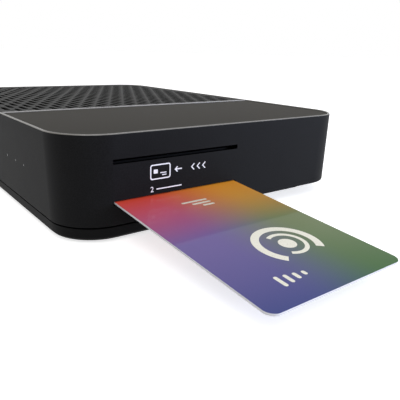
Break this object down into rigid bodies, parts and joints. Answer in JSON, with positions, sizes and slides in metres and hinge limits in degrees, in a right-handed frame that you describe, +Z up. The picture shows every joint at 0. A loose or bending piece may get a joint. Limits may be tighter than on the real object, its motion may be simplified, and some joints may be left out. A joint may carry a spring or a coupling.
{
  "type": "satellite tv receiver",
  "caption": "Flat black set-top satellite receiver with a vented top, two smart card slots in one side and a card standing half out of the lower slot.",
  "frame": {"origin": "centre of the case on the plane its feet stand on", "axes": "+X to the side with the card slots, +Y to the rear with the connectors, +Z up"},
  "size_m": [0.2795, 0.1483, 0.0384],
  "materials": {
    "shell_plastic": "fine spark-eroded grain",
    "panel_plastic": "satin",
    "grille_plastic": "satin",
    "trim_plastic": "polished",
    "base_plastic": "matt",
    "rear_plastic": "matt",
    "foot_rubber": "matt",
    "screw_steel": "zinc plated",
    "card_plastic": "printed and laminated",
    "contact_gold": "gold flash",
    "reader_plastic": "moulded",
    "sheet_steel": "tinned",
    "circuit_board": "solder mask",
    "spacer_brass": "turned",
    "button_plastic": "satin",
    "plunger_plastic": "moulded",
    "window_plastic": "dark tinted",
    "chip_resin": "moulded",
    "clear_guide": "clear acrylic",
    "lamp_resin": "diffusing",
    "pale_plastic": "moulded",
    "pad_rubber": "soft",
    "black_aluminium": "anodised",
    "capacitor_sleeve": "shrunk sleeve",
    "crystal_steel": "drawn",
    "connector_nickel": "nickel",
    "audio_plastic": "moulded",
    "av_plastic": "moulded",
    "socket_plastic": "moulded",
    "rocker_plastic": "satin"
  },
  "bodies": {
    "case": {"top_shell": "shell_plastic", "smooth_panel": "panel_plastic", "vent_grille": "grille_plastic", "divider_strip": "trim_plastic", "base_tray": "base_plastic", "rear_panel": "rear_plastic", "rubber_feet": "foot_rubber", "case_screws": "screw_steel", "lower_reader_bed": "reader_plastic", "lower_reader_cover": "sheet_steel", "lower_reader_contacts": "contact_gold", "reader_screws": "screw_steel", "upper_reader_bed": "reader_plastic", "upper_reader_cover": "sheet_steel", "upper_reader_contacts": "contact_gold", "upper_reader_board": "circuit_board", "reader_spacers": "spacer_brass", "reader_board_screws": "screw_steel", "link_socket": "reader_plastic", "link_pins": "contact_gold", "standby_switch": "reader_plastic", "infrared_window": "window_plastic", "infrared_receiver": "chip_resin", "light_guide": "clear_guide", "indicator_lamps": "lamp_resin", "front_board": "circuit_board", "cable_sockets": "pale_plastic", "front_flat_cable": "pale_plastic", "main_board": "circuit_board", "board_screws": "screw_steel", "main_processor": "chip_resin", "thermal_pad": "pad_rubber", "heatsink": "black_aluminium", "memory_chips": "chip_resin", "capacitors": "capacitor_sleeve", "inductors": "chip_resin", "regulators": "chip_resin", "crystal": "crystal_steel", "tuner_can": "sheet_steel", "tuner_lid": "sheet_steel", "aerial_connectors": "connector_nickel", "aerial_insulators": "pale_plastic", "connector_washers": "connector_nickel", "connector_nuts": "connector_nickel", "hdmi_socket": "sheet_steel", "hdmi_tongue": "reader_plastic", "network_socket": "sheet_steel", "network_contacts": "contact_gold", "usb_socket": "sheet_steel", "usb_tongue": "reader_plastic", "digital_audio_socket": "audio_plastic", "av_jack": "av_plastic", "power_inlet": "socket_plastic", "power_inlet_pin": "connector_nickel", "power_switch": "socket_plastic"},
    "card": {"smart_card": "card_plastic", "card_chip": "contact_gold"},
    "standby": {"standby_button": "button_plastic", "switch_plunger": "plunger_plastic"},
    "rocker": {"power_rocker": "rocker_plastic"}
  },
  "joints": [
    {"name": "card_slide", "type": "slide", "parent": "case", "child": "card", "axis": [0.9964, 0, -0.0845], "range_m": [-0.05, 0.012]},
    {"name": "standby_press", "type": "slide", "parent": "case", "child": "standby", "axis": [0, 1, 0], "range_m": [0, 0.0004], "stiffness_N_per_m": 1500},
    {"name": "rocker_swing", "type": "hinge", "parent": "case", "child": "rocker", "pos_m": [-0.071, 0.06419, 0.02], "axis": [0, 0, 1], "range_deg": [0, 24]}
  ]
}
